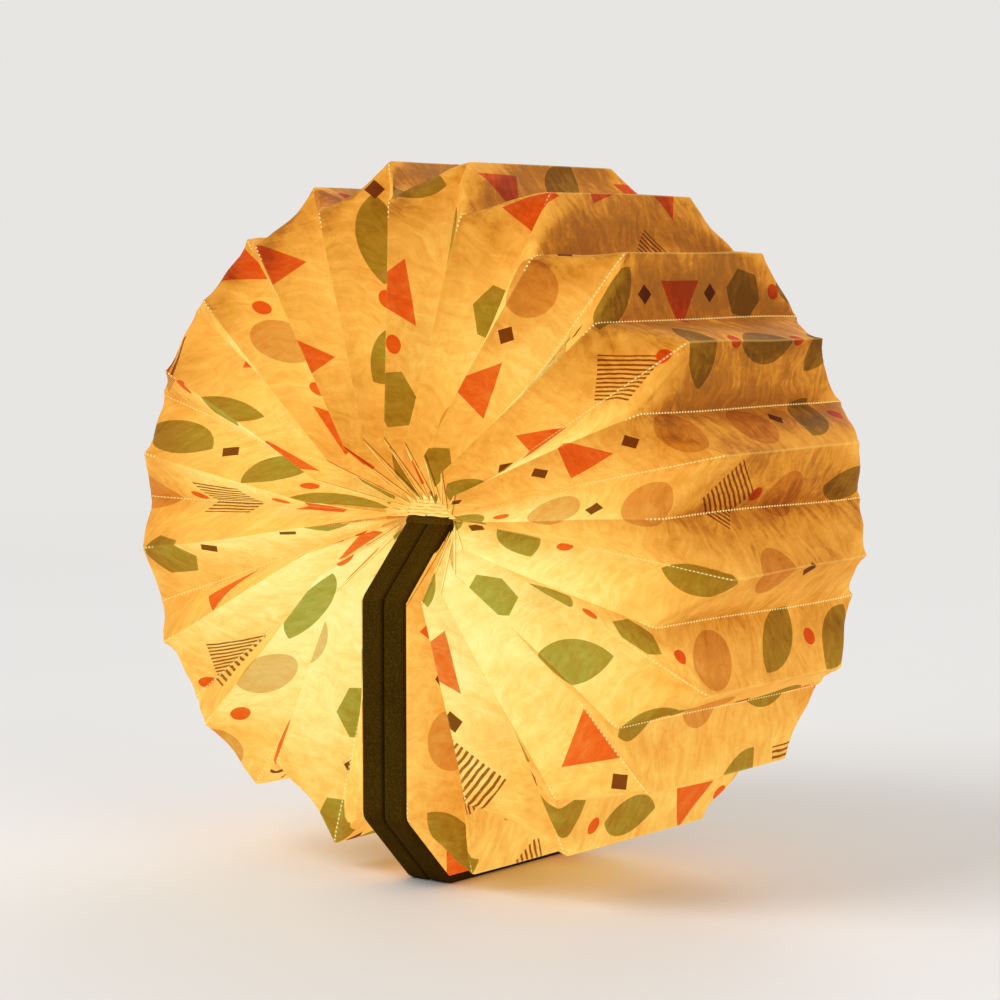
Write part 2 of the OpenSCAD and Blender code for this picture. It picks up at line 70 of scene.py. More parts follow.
# ---- small helpers ----
class Net:
    """Builds a node tree; a value is a number, a tuple or a socket."""

    def __init__(self, name):
        self.mat = bpy.data.materials.new(name)
        self.mat.use_nodes = True
        self.tree = self.mat.node_tree
        self.tree.nodes.clear()
        self.out = self.tree.nodes.new("ShaderNodeOutputMaterial")

    def put(self, socket, value):
        if isinstance(value, bpy.types.NodeSocket):
            self.tree.links.new(value, socket)
        elif value is not None:
            socket.default_value = value

    def node(self, kind, props=None, **inputs):
        n = self.tree.nodes.new("ShaderNode" + kind)
        for k, v in (props or {}).items():
            setattr(n, k, v)
        for k, v in inputs.items():
            self.put(n.inputs[k.replace("_", " ")], v)
        return n

    def math(self, op, a, b=None, clamp=False):
        n = self.tree.nodes.new("ShaderNodeMath")
        n.operation, n.use_clamp = op, clamp
        for s, v in zip(n.inputs, (a, b)):
            self.put(s, v)
        return n.outputs[0]

    def add(self, a, b, clamp=False):
        return self.math("ADD", a, b, clamp)

    def sub(self, a, b):
        return self.math("SUBTRACT", a, b)

    def mul(self, a, b):
        return self.math("MULTIPLY", a, b)

    def div(self, a, b):
        return self.math("DIVIDE", a, b)

    def abs(self, a):
        return self.math("ABSOLUTE", a)

    def largest(self, a, b):
        return self.math("MAXIMUM", a, b)

    def length(self, x, y):
        """Distance of the point (x, y) from the origin."""
        return self.vmath("LENGTH", self.vec(x, y, 0.0), out=1)

    def wrapped(self, value, period):
        """How far value is into its period, from -0.5 to 0.5."""
        return self.sub(self.math("FRACT", self.div(value, period)), 0.5)

    def vmath(self, op, a, b=None, out=0, scale=None):
        n = self.tree.nodes.new("ShaderNodeVectorMath")
        n.operation = op
        for s, v in zip(n.inputs, (a, b)):
            self.put(s, v)
        if scale is not None:
            self.put(n.inputs["Scale"], scale)
        return n.outputs[out]

    def vec(self, x, y, z):
        n = self.tree.nodes.new("ShaderNodeCombineXYZ")
        for s, v in zip(n.inputs, (x, y, z)):
            self.put(s, v)
        return n.outputs[0]

    def xyz(self, v):
        n = self.tree.nodes.new("ShaderNodeSeparateXYZ")
        self.put(n.inputs[0], v)
        return n.outputs

    def mix(self, factor, a, b, blend="MIX"):
        n = self.tree.nodes.new("ShaderNodeMix")
        n.data_type, n.blend_type = "RGBA", blend
        self.put(n.inputs[0], factor)
        self.put(n.inputs[6], a if isinstance(a, bpy.types.NodeSocket) else (*a, 1))
        self.put(n.inputs[7], b if isinstance(b, bpy.types.NodeSocket) else (*b, 1))
        return n.outputs[2]

    def ramp(self, value, stops):
        n = self.tree.nodes.new("ShaderNodeValToRGB")
        r = n.color_ramp
        while len(r.elements) < len(stops):
            r.elements.new(0.5)
        for e, (p, c) in zip(r.elements, stops):
            e.position = p
            e.color = (*c, 1) if isinstance(c, tuple) else (c, c, c, 1)
        self.put(n.inputs[0], value)
        return n.outputs[0]

    def noise(self, vector, scale, detail=2.0, rough=0.5, distortion=0.0, kind="FBM"):
        n = self.tree.nodes.new("ShaderNodeTexNoise")
        n.noise_type = kind
        self.put(n.inputs["Vector"], vector)
        for k, v in (("Scale", scale), ("Detail", detail), ("Roughness", rough), ("Distortion", distortion)):
            self.put(n.inputs[k], v)
        return n.outputs[0]

    def step(self, value, edge, soft):
        """0 below edge, 1 above it, over the width soft."""
        n = self.tree.nodes.new("ShaderNodeMapRange")
        n.interpolation_type = "SMOOTHSTEP"
        for k, v in (("Value", value), ("From Min", edge - soft / 2), ("From Max", edge + soft / 2)):
            self.put(n.inputs[k], v)
        return n.outputs[0]

    def bump(self, height, strength, distance):
        n = self.tree.nodes.new("ShaderNodeBump")
        n.inputs["Strength"].default_value = strength
        n.inputs["Distance"].default_value = distance
        self.put(n.inputs["Height"], height)
        return n.outputs[0]

    def surface(self, **inputs):
        n = self.tree.nodes.new("ShaderNodeBsdfPrincipled")
        for k, v in inputs.items():
            s = n.inputs[k.replace("_", " ")]
            if isinstance(v, tuple) and len(v) == 3 and s.type == "RGBA":
                v = (*v, 1)
            self.put(s, v)
        self.tree.links.new(n.outputs[0], self.out.inputs["Surface"])
        return self.mat

    def place(self):
        return self.node("TexCoord").outputs["Object"]


def new_piece(name, verts, faces, mat, body, smooth=True):
    mesh = bpy.data.meshes.new(name)
    mesh.from_pydata([tuple(v) for v in verts], [], [tuple(f) for f in faces])
    mesh.validate()
    obj = bpy.data.objects.new(name, mesh)
    bpy.context.collection.objects.link(obj)
    for p in mesh.polygons:
        p.use_smooth = smooth
    mesh.materials.append(mat)
    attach(obj, body)
    return obj


def face_outwards(mesh):
    bm = bmesh.new()
    bm.from_mesh(mesh)
    bmesh.ops.recalc_face_normals(bm, faces=bm.faces)
    bm.to_mesh(mesh)
    bm.free()


def loft_faces(rings, m):
    """Faces between closed rings of m points each, with a cap at both ends."""
    faces = []
    for j in range(rings - 1):
        for t in range(m):
            a, b = j * m + t, j * m + (t + 1) % m
            faces.append((a, b, b + m, a + m))
    return faces + [tuple(range(m)), tuple(reversed(range((rings - 1) * m, rings * m)))]


def sheet_data(mesh, uv, glow, hem):
    """Gives each face corner its place on the flat sheet, its light and its distance from the cut at the hub (mm)."""
    mesh.uv_layers.new(name="sheet").data.foreach_set("uv", np.array(uv, float).ravel())
    for name, values in (("glow", glow), ("hem", hem)):
        mesh.attributes.new(name, "FLOAT", "CORNER").data.foreach_set("value", np.array(values, float))


# ---- materials ----
PITCH = 27.0                        # width of one panel in the print's coordinates, mm
FAR_FROM_CUT = 9.0                  # hem value (mm) of paper that shows no cut edge
CELL_U, CELL_V = 41.0, 37.0         # one motif of the print to a cell of this size, mm
HOLE_PITCH, HOLE_R = 1.75, 0.42     # perforation, mm
OLIVE, BROWN, HATCH = (0.38, 0.40, 0.12), (0.21, 0.095, 0.02), (0.30, 0.13, 0.04)
ORANGE, PEACH = (0.82, 0.20, 0.06), (0.76, 0.57, 0.44)


def paper_material():
    """Printed fibre paper, lit from behind.

    UV map "sheet" is the place on the flat sheet in metres, attribute "glow" the light that comes through, and
    attribute "hem" the distance from the cut edge by the hub in mm.
    """
    n = Net("shade_paper")
    uv = n.node("UVMap", {"uv_map": "sheet"}).outputs[0]
    mm = n.vmath("SCALE", uv, scale=1000.0)
    glow = n.node("Attribute", {"attribute_name": "glow"}).outputs["Fac"]
    u, v, _ = n.xyz(mm)
    au = n.abs(u)

    def inside(distance, edge, soft=0.3):
        """1 up to edge and 0 beyond it."""
        return n.sub(1.0, n.step(distance, edge, soft))

    def between(value, lo, hi):
        return n.mul(n.math("GREATER_THAN", value, lo), n.math("LESS_THAN", value, hi))

    def swing(value, amount):
        """A noise value, centred on 0."""
        return n.mul(n.sub(value, 0.5), amount)

    def cells(shift, seed):
        """Place in the cell (mm), and the cell's random number and colour. Every other column is half a cell off."""
        col = n.math("FLOOR", n.div(v, CELL_V))
        uu = n.add(u, n.mul(n.math("MODULO", col, 2.0), CELL_U * 0.5))
        uu = n.add(uu, shift)
        row = n.math("FLOOR", n.div(uu, CELL_U))
        lx = n.mul(n.wrapped(uu, CELL_U), CELL_U)
        ly = n.mul(n.wrapped(v, CELL_V), CELL_V)
        w = n.node("TexWhiteNoise", {"noise_dimensions": "3D"}, Vector=n.vec(row, col, seed))
        return lx, ly, w.outputs["Value"], n.xyz(w.outputs["Color"])

    # generic print: leaves, hatched diamonds, triangles, hexagons and discs, each shifted and turned in its cell
    lx, ly, pick, (ra, rb, rc) = cells(7.0, 11.0)
    # near the hub, where the panels stand steep, a leaf takes the place of a hatched shape
    near_hub = n.math("GREATER_THAN", n.abs(n.sub(u, lx)), 98.0)
    pick = n.sub(pick, n.mul(near_hub, n.mul(between(pick, 0.27, 0.45), 0.25)))
    jx = n.add(lx, n.mul(n.sub(rb, 0.5), 6.0))
    jy = n.add(ly, n.mul(n.sub(rc, 0.5), 5.0))
    angle = n.mul(n.math("FLOOR", n.mul(ra, 8.0)), math.pi / 4)
    turned = n.node("VectorRotate", {"rotation_type": "Z_AXIS"}, Vector=n.vec(jx, jy, 0.0), Angle=angle).outputs[0]
    x, y, _ = n.xyz(turned)
    ax, ay = n.abs(x), n.abs(y)

    leaf = inside(n.length(x, n.add(ay, 12.4)), 20.9)
    diamond = inside(n.add(ax, ay), 16.5)
    lines = n.add(n.add(x, y), n.mul(n.noise(uv, 160.0, 2.0), 1.5))
    hatch = n.step(n.abs(n.wrapped(lines, 3.1)), 0.27, 0.1)
    triangle = inside(n.largest(n.add(n.mul(ax, 0.866), n.mul(y, 0.5)), n.mul(y, -1.0)), 6.8)
    hexagon = inside(n.largest(n.add(n.mul(ax, 0.866), n.mul(ay, 0.5)), ay), 9.6)
    disc = inside(n.length(x, y), 11.0)

    worn = n.noise(n.vmath("MULTIPLY", uv, (1.0, 0.4, 1.0)), 330.0, 4.0, 0.65, 0.8)
    wear = n.add(0.72, n.mul(worn, 0.46), clamp=True)
    tint = (1.0, 1.0, 1.0)
    for shape, lo, hi, ink in (
        (leaf, -1.0, 0.27, OLIVE),
        (n.mul(diamond, hatch), 0.27, 0.45, HATCH),
        (triangle, 0.45, 0.60, ORANGE),
        (hexagon, 0.60, 0.76, OLIVE),
        (disc, 0.76, 0.90, PEACH),
    ):
        tint = n.mix(n.mul(n.mul(shape, between(pick, lo, hi)), wear), tint, ink)

    # small squares and dots between them
    sx, sy, spick, _ = cells(27.0, 8.0)
    small = inside(n.largest(n.abs(n.add(sx, sy)), n.abs(n.sub(sx, sy))), 4.0)
    tint = n.mix(n.mul(small, n.math("LESS_THAN", spick, 0.34)), tint, BROWN)
    dot = inside(n.length(sx, sy), 3.4)
    tint = n.mix(n.mul(dot, between(spick, 0.34, 0.55)), tint, ORANGE)

    # cloudiness of the paper and its long fibres, which wander mostly across the folds
    cloud = n.noise(uv, 62.0, 5.0, 0.6, 0.8)
    wander = n.node("TexNoise", Vector=uv, Scale=38.0, Detail=2.0).outputs["Color"]
    drift = n.vmath("SCALE", n.vmath("SUBTRACT", wander, (0.5, 0.5, 0.5)), scale=0.022)
    swirled = n.vmath("ADD", uv, drift)
    strands = n.noise(n.vmath("MULTIPLY", swirled, (1.0, 0.22, 1.0)), 300.0, 5.0, 0.66, 0.4)
    threads = n.noise(n.vmath("MULTIPLY", swirled, (0.3, 1.0, 1.0)), 420.0, 4.0, 0.6, 0.6)
    blotch = n.noise(uv, 21.0, 3.0, 0.5)
    crumple = n.noise(uv, 95.0, 2.0, 0.55, 1.2, "RIDGED_MULTIFRACTAL")
    near_corner = n.mul(n.step(au, 48.0, 26.0), n.sub(1.0, n.step(au, 82.0, 30.0)))
    mottle_and_crumple_shade = n.add(n.add(swing(cloud, 0.26), swing(blotch, 0.22)), n.add(swing(strands, 0.58), swing(threads, 0.20)))
    # near the corners the crumples are also painted in as light and shade
    mottle_and_crumple_shade = n.add(mottle_and_crumple_shade, n.mul(near_corner, swing(crumple, 0.09)))

    # the cut edge by the hub: a bright line with a dark one beside it
    hem = n.node("Attribute", {"attribute_name": "hem"}).outputs["Fac"]
    dark_line = inside(n.abs(n.sub(hem, 1.0)), 0.30, 0.2)
    hem_line = n.sub(n.mul(inside(hem, 0.6, 0.2), 0.10), n.mul(dark_line, 0.42))
    lit = n.add(n.add(glow, hem_line), mottle_and_crumple_shade)

    # a faint painted highlight along each fold, with holes over the rim on even folds and part of the way down the
    # sides on odd ones
    half = n.abs(n.wrapped(v, 2 * PITCH))
    to_ridge = n.mul(n.sub(0.5, half), 2 * PITCH)
    to_valley = n.mul(half, 2 * PITCH)
    to_hole = n.mul(n.sub(0.5, n.abs(n.wrapped(u, HOLE_PITCH))), HOLE_PITCH)
    ridge_hole = inside(n.length(to_ridge, to_hole), HOLE_R, 0.16)
    valley_hole = inside(n.length(to_valley, to_hole), HOLE_R, 0.16)
    near_ridge = n.mul(ridge_hole, inside(au, 72.0, 3.0))
    near_valley = n.mul(n.mul(valley_hole, n.step(au, 44.2, 0.4)), inside(au, 112.0, 60.0))
    holes = n.largest(near_ridge, near_valley)
    crease_highlight = n.largest(n.mul(inside(to_ridge, 0.5, 0.6), 0.3), inside(to_valley, 0.5, 0.6))
    # the linings and the hub paper, further along the sheet, have no folds
    crease_highlight = n.mul(crease_highlight, inside(au, 180.0, 2.0))

    warm = n.ramp(n.mul(lit, 0.85), [
        (0.0, (0.17, 0.018, 0.0)), (0.11, (0.31, 0.060, 0.001)), (0.21, (0.52, 0.165, 0.010)),
        (0.425, (0.74, 0.315, 0.046)), (0.595, (0.81, 0.470, 0.090)), (0.7225, (0.83, 0.600, 0.158)),
        (0.85, (0.84, 0.745, 0.250)), (0.9775, (0.86, 0.84, 0.34))])
    emitted = n.mix(1.0, warm, tint, "MULTIPLY")
    # the painted highlight along the folds
    emitted = n.mix(n.mul(crease_highlight, 0.25), emitted, (0.84, 0.60, 0.16))
    emitted = n.mix(holes, emitted, (0.86, 0.76, 0.34))
    base = n.mix(1.0, n.mix(cloud, (0.19, 0.110, 0.014), (0.26, 0.155, 0.020)), tint, "MULTIPLY")
    height = n.add(n.mul(cloud, 0.5), n.add(n.mul(strands, 0.3), n.mul(crumple, 0.15)))
    return n.surface(Base_Color=base, Roughness=0.72, Specular_IOR_Level=0.10, Emission_Color=emitted,
                     Emission_Strength=1.0, Normal=n.bump(height, 0.35, 0.0012))


def velvet_material(name="velvet", painted_lightness=1.0):
    """Short-pile fabric. A last argument above 1 gives the same cloth, lighter: light painted into its colour."""
    n = Net(name)
    p = n.place()

    # the cloth's dye colours; a last argument above 1 paints light into them
    def dye_and_painted_light(*colour):
        return tuple(c * painted_lightness for c in colour)

    pile = n.noise(p, 2100.0, 3.0, 0.65)
    brushed = n.noise(n.vmath("MULTIPLY", p, (1.0, 1.0, 0.55)), 75.0, 4.0, 0.6, 0.8)
    patch = n.noise(p, 22.0, 3.0, 0.55)
    shade = n.add(n.mul(brushed, 0.6), n.mul(patch, 0.4))
    base = n.ramp(shade, [(0.3, dye_and_painted_light(0.027, 0.0125, 0.0004)), (0.55, dye_and_painted_light(0.041, 0.0200, 0.0007)),
                          (0.75, dye_and_painted_light(0.060, 0.0305, 0.0014))])
    base = n.mix(n.mul(n.step(pile, 0.56, 0.16), 0.55), base, dye_and_painted_light(0.100, 0.054, 0.005))
    height = n.add(n.mul(pile, 0.6), n.mul(brushed, 0.4))
    return n.surface(Base_Color=base, Roughness=0.88, Specular_IOR_Level=0.015, Sheen_Weight=0.03, Sheen_Roughness=0.5,
                     Sheen_Tint=(0.5, 0.30, 0.06), Normal=n.bump(height, 0.7, 0.0005))


def plain_material(name, dark, light, scale, rough, metallic=0.0, bump=0.05, stretch=(1.0, 1.0, 1.0), glow=None):
    """Moulded, cut or drawn stock: a mottled colour with a fine surface of its own."""
    n = Net(name)
    p = n.vmath("MULTIPLY", n.place(), stretch)
    grain = n.noise(p, scale, 4.0, 0.6)
    fine = n.noise(p, scale * 14, 2.0, 0.5)
    base = n.mix(grain, dark, light)
    r = n.ramp(fine, [(0.3, max(rough - 0.08, 0.0)), (0.7, min(rough + 0.08, 1.0))])
    inputs = dict(Base_Color=base, Roughness=r, Metallic=metallic, Normal=n.bump(n.add(fine, grain), bump, 0.0003))
    if glow:
        inputs.update(Emission_Color=n.mix(grain, glow, tuple(c * 0.92 for c in glow)), Emission_Strength=0.8)
    return n.surface(**inputs)


PAPER = paper_material()
VELVET = velvet_material()
# the spine's fabric: the same velvet, lighter, with painted light from the lamp above it
VELVET_LIT = velvet_material("velvet_spine", 1.7)
MATERIALS = {
    "board": plain_material("board", (0.36, 0.27, 0.16), (0.46, 0.36, 0.23), 180.0, 0.85, bump=0.2),
    "tray_plastic": plain_material("tray_plastic", (0.62, 0.60, 0.54), (0.68, 0.66, 0.60), 90.0, 0.45),
    "led_circuit": plain_material("led_circuit", (0.74, 0.74, 0.72), (0.80, 0.80, 0.77), 120.0, 0.4),
    "led_chip": plain_material("led_chip", (0.80, 0.66, 0.28), (0.85, 0.72, 0.34), 500.0, 0.3, glow=(1.0, 0.80, 0.36)),
    "diffuser_plastic": plain_material("diffuser_plastic", (0.78, 0.68, 0.45), (0.82, 0.74, 0.52), 60.0, 0.35,
                                       glow=(1.0, 0.78, 0.34)),
    "steel": plain_material("steel", (0.50, 0.50, 0.50), (0.62, 0.62, 0.61), 300.0, 0.32, 1.0, stretch=(1.0, 6.0, 1.0)),
    "dark_plastic": plain_material("dark_plastic", (0.016, 0.016, 0.016), (0.028, 0.028, 0.027), 120.0, 0.5),
    "magnet_steel": plain_material("magnet_steel", (0.56, 0.56, 0.57), (0.66, 0.66, 0.67), 160.0, 0.25, 1.0),
    "battery_foil": plain_material("battery_foil", (0.50, 0.50, 0.52), (0.64, 0.64, 0.66), 45.0, 0.38, 0.7, bump=0.2),
    "green_circuit": plain_material("green_circuit", (0.012, 0.09, 0.035), (0.02, 0.13, 0.05), 200.0, 0.42),
    "light_guide": plain_material("light_guide", (0.62, 0.66, 0.66), (0.72, 0.76, 0.76), 120.0, 0.2),
    "lid_card": plain_material("lid_card", (0.40, 0.31, 0.19), (0.50, 0.40, 0.26), 200.0, 0.85, bump=0.2),
    "velvet": VELVET,
}
NODE_SLOT = {
    "board": ("spine_board", "right_board", "left_board"),
    "velvet": ("spine_wrap", "right_wrap", "left_wrap", "right_hinge_flap", "left_hinge_flap"),
    "tray_plastic": ("light_tray",),
    "led_circuit": ("led_board",),
    "led_chip": ("leds",),
    "diffuser_plastic": ("light_diffuser",),
    "steel": ("tray_screws", "board_screws", "charge_socket"),
    "dark_plastic": ("opening_sensor",),
    "magnet_steel": ("right_magnets", "left_magnets", "trigger_magnet"),
    "battery_foil": ("battery",),
    "green_circuit": ("charge_board",),
    "light_guide": ("charge_light",),
    "lid_card": ("pocket_lid",),
}
for slot, names in NODE_SLOT.items():
    for name in names:
        mesh = NODES[name].data
        mesh.materials.clear()
        mesh.materials.append(MATERIALS[slot])

# ---- shade ----
PLEATS = 20
# folds are numbered from 0 to LAST; even ones stand out at the front and the back, odd ones at the rim
LAST = 2 * PLEATS
HALF, GLUE_HALF = 0.0657, 0.0650                    # half widths along the spine: even folds, and those on the covers
TIP, VALLEY = 0.0403, 0.0442                        # half widths of an odd fold by the hub and at the rim
R_IN, R_RIDGE, R_END, R_GLUE = 0.0294, 0.1155, 0.1035, 0.1090      # even folds: hub end, rim, next to a cover, on it
R_TIP, R_RIM = 0.005, 0.131                         # odd folds: hub end and rim
SPREAD, SHADE_Z = 0.0106, 0.1365                    # the folds start this far off the middle, at this height


def fold(i):
    """Angle of fold i round the spine, from straight down by the right cover to straight down by the left one."""
    if i in (0, LAST):
        return 2 * math.pi * (i > 0)
    a = math.pi * i / PLEATS
    return a + math.radians(-4.2 + 6.4 * math.sin(a) + 2.4 * (1 - math.cos(a)) / 2)


def fold_place(i):
    """Where fold i starts across the spine, from 1 at the right to -1 at the left."""
    return 0.3 * (1 - i / PLEATS) + 0.7 * math.cos(math.pi * i / LAST)


def radial(i):
    """Unit vector along fold i, away from the spine."""
    return np.array([0.0, math.sin(fold(i)), -math.cos(fold(i))])


def tangent(i):
    """Unit vector square to fold i, the way the fan opens."""
    return np.array([0.0, math.cos(fold(i)), math.sin(fold(i))])


def fold_row(i, c):
    """Points and sheet coordinates of fold i at chain parameters c: 0 to 1 front, 1 to 2 rim, 2 to 3 back."""
    c = np.asarray(c, float)
    if i % 2:
        x0, x1, r0, r1 = TIP, VALLEY, R_TIP, R_RIM
    else:
        x0 = x1 = GLUE_HALF if i in (0, LAST) else HALF
        r0, r1 = R_IN, R_GLUE if i in (0, LAST) else R_END if i in (2, LAST - 2) else R_RIDGE
    side = np.where(c < 1, c, np.where(c > 2, 3 - c, 1.0))
    x = (x0 + (x1 - x0) * side) * np.where(c <= 1, 1.0, np.where(c >= 2, -1.0, 3 - 2 * c))
    r = r0 + (r1 - r0) * side
    u = np.where((c > 1) & (c < 2), x, np.sign(x) * (x1 + (r1 - r)))
    base = np.array([0.0, SPREAD * fold_place(i), SHADE_Z])
    pts = base + x[:, None] * np.array([1.0, 0, 0]) + r[:, None] * radial(i)
    # the paper isn't quite straight along its folds
    rng = np.random.default_rng(100 + i)
    ph = rng.uniform(0, 2 * math.pi, 4)
    wob = sum(np.sin((k + 1) * 2.1 * c + ph[k]) / (k + 1) for k in range(4))
    fade = np.clip(side * 1.4, 0, 1) * (0.0 if i in (0, LAST) else 1.0)
    pts = pts + (0.0006 * wob * fade)[:, None] * tangent(i)
    return pts, u


def grid_normals(p):
    """Unit normals of a grid of points."""
    dc, df = np.gradient(p, axis=1), np.gradient(p, axis=0)
    n = np.cross(dc, df)
    return n / np.maximum(np.linalg.norm(n, axis=-1, keepdims=True), 1e-12)


ROWS = 8                                         # steps across one panel
SIDE = np.array([0, 0.05, 0.12, 0.21, 0.31, 0.41, 0.51, 0.60, 0.68, 0.75, 0.81, 0.86, 0.90, 0.935, 0.97, 1.0])
RIM = np.array([0, 0.02, 0.045, 0.075, 0.115, 0.165, 0.23, 0.31, 0.40, 0.50])
CHAIN = np.concatenate([SIDE, 1 + RIM[1:], 2 - RIM[-2::-1], 3 - SIDE[-2::-1]])
OFFSETS = np.linspace(-2, 2, 9)                  # in sigmas, for rounding the corner creases
WEIGHTS = np.exp(-OFFSETS ** 2 / 2) / np.exp(-OFFSETS ** 2 / 2).sum()


def rounded(row, sigma):
    """The row with its two corners eased over about sigma."""
    s = np.concatenate([[0], np.cumsum(np.linalg.norm(np.diff(row, axis=0), axis=1))])
    at = s[None, :] + OFFSETS[:, None] * np.minimum(np.minimum(s, s[-1] - s) / 2, sigma)[None, :]
    return np.stack([(np.interp(at, s, row[:, k]) * WEIGHTS[:, None]).sum(0) for k in range(3)], -1), s


def light_through(p, past, i, f, h):
    """How brightly the lamp shows through the paper at points p of half h of the pleat round fold i.

    f is the place across the panel, and past how far (m) a point lies round the corner from the side to the rim.
    This is no simulation of light: its numbers were tuned until the render was near the photograph.
    """
    r = np.sqrt(((p - np.array([0.0, 0.0, SHADE_Z]))[..., 1:] ** 2).sum(-1))
    up = (p[..., 2] - SHADE_Z) / np.maximum(r, 0.012)
    # brightest by the light bar, and a little brighter below it
    fall = (0.045 / np.sqrt(r ** 2 + 0.02 ** 2)) ** 0.3
    side = np.minimum(0.93 * fall, 0.82) * (1 - 0.12 * up)
    # a pleat is brightest at its first fold and dims towards its last, with a dark line by its middle one near the hub
    place = f / 2 + h / 2
    side = side + (0.17 + 0.05 * up) * (1 - 2 * place) + 0.06 * np.exp(-((r - 0.052) / 0.02) ** 2) * (1 - place)
    to_odd = np.where(h == 0, 1 - f, f) * PITCH
    side = side - 0.16 * np.exp(-to_odd / 2.5) * np.clip((0.085 - r) / 0.045, 0, 1)
    # layers of paper dim the light above the hub
    side = side - 0.13 * np.clip((0.062 - r) / 0.030, 0, 1) * np.clip(up + 0.25, 0, 1)
    # the right side is a little dimmer, the folds differ, and the first pleat is much dimmer than the rest
    side = side - 0.05 * np.clip(p[..., 1] / 0.04, 0, 1) + 0.06 * math.cos(4 * (fold(i) - 2.62))
    if i == 1:
        side = side - (0.33, 0.18)[h] * (1.1 - 0.35 * np.clip((r - 0.05) / 0.06, 0, 1))
    # the rim is dim above and brighter below; the two run into each other round the corner
    rim = np.clip(0.24 - 0.62 * up, 0.13 - 0.06 * up, 0.62) + 0.05 * math.sin(2.4 * i)
    w = np.clip((past + 0.030) / 0.055, 0, 1)
    w = w * w * (3 - 2 * w)
    return side * (1 - w) + rim * w


def make_pleat(k):
    """Pleat k: two panels that meet at the odd fold 2k - 1, as one sheet."""
    i = 2 * k - 1
    rng = np.random.default_rng(k)
    rows = [fold_row(j, CHAIN) for j in (i - 1, i, i + 1)]
    hub = np.array([0.0, SPREAD * fold_place(i), SHADE_Z])
    W = len(CHAIN)
    total = 2 * ROWS + 1
    P, UV, hem = np.zeros((total, W, 3)), np.zeros((total, W, 2)), np.zeros((total, W))
    glow = np.zeros((2, ROWS + 1, W))
    for h in (0, 1):
        (a, ua), (b, ub) = rows[h], rows[h + 1]
        f = np.linspace(0, 1, ROWS + 1)[:, None]
        rs = slice(h * ROWS, h * ROWS + ROWS + 1)
        block = a + (b - a) * f[..., None]
        UV[rs, :, 0] = ua + (ub - ua) * f
        UV[rs, :, 1] = (i - 1 + h + f) * PITCH / 1000
        for r in range(ROWS + 1):
            bend = 0.0011 + 0.0034 * math.sin(math.pi * r / ROWS) ** 0.7
            block[r], s = rounded(block[r], bend)
            hem[h * ROWS + r] = np.minimum(s, s[-1] - s) * 1000
        n = grid_normals(block)
        if (n * (block - hub)).sum() < 0:
            n = -n
        # the panels belly and buckle a little, most near the corners of the shade
        c = CHAIN[None, :]
        ph = rng.uniform(0, 2 * math.pi, 6)
        wave = (rng.uniform(-0.1, 0.8) + 0.5 * np.sin(2.9 * c + ph[0]) + 0.35 * np.sin(6.3 * c + ph[1])
                + 0.2 * np.sin(13.0 * c + ph[2]))
        belly = np.sin(math.pi * f) * wave + 0.35 * np.sin(2 * math.pi * f) * np.sin(4.1 * c + ph[3])
        corner = np.exp(-((np.abs(c - 1.5) - 0.5) / 0.14) ** 2)
        belly = belly + 0.3 * corner * np.sin(3 * math.pi * f) * np.sin(24 * c + ph[4])
        edge = np.minimum(c, 3 - c)
        size = 0.0012 * np.clip(edge * 3, 0.15, 1) * (1 + 0.3 * corner)
        block = block + (size * belly)[..., None] * n
        P[rs] = block
        n2 = grid_normals(block)
        n2 = np.where(((n2 * n).sum(-1) < 0)[..., None], -n2, n2)
        run = hem[rs] / 1000
        glow[h] = light_through(block, run - run[:, len(SIDE) - 1][:, None], i, f, h)
        # the buckles catch the light
        glow[h] += 0.9 * ((n2 - n) * radial(i)).sum(-1) * np.clip(edge * 3, 0, 1)
    faces, loop_uv, loop_glow, loop_hem = [], [], [], []
    for h in (0, 1):
        for r in range(ROWS):
            for c in range(W - 1):
                quad = [(r, c), (r, c + 1), (r + 1, c + 1), (r + 1, c)]
                faces.append([(h * ROWS + q[0]) * W + q[1] for q in quad])
                loop_uv += [UV[h * ROWS + q[0], q[1]] for q in quad]
                loop_glow += [glow[h, q[0], q[1]] for q in quad]
                loop_hem += [hem[h * ROWS + q[0], q[1]] for q in quad]
    name = f"pleat_{k:02d}"
    obj = new_piece("paper_" + name, P.reshape(-1, 3), faces, PAPER, name)
    mesh = obj.data
    sheet_data(mesh, loop_uv, np.clip(loop_glow, -0.1, 1.15), loop_hem)
    bm = bmesh.new()
    bm.from_mesh(mesh)
    for e in bm.edges:
        e.smooth = not all(v.index // W == ROWS for v in e.verts)     # a crisp fold
    bmesh.ops.recalc_face_normals(bm, faces=bm.faces)
    bm.to_mesh(mesh)
    bm.free()
    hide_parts(name)
    # closed, a pleat is thinner than its space, most so by the covers, where the folds are crowded
    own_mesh(obj)


for k in range(1, PLEATS + 1):
    make_pleat(k)


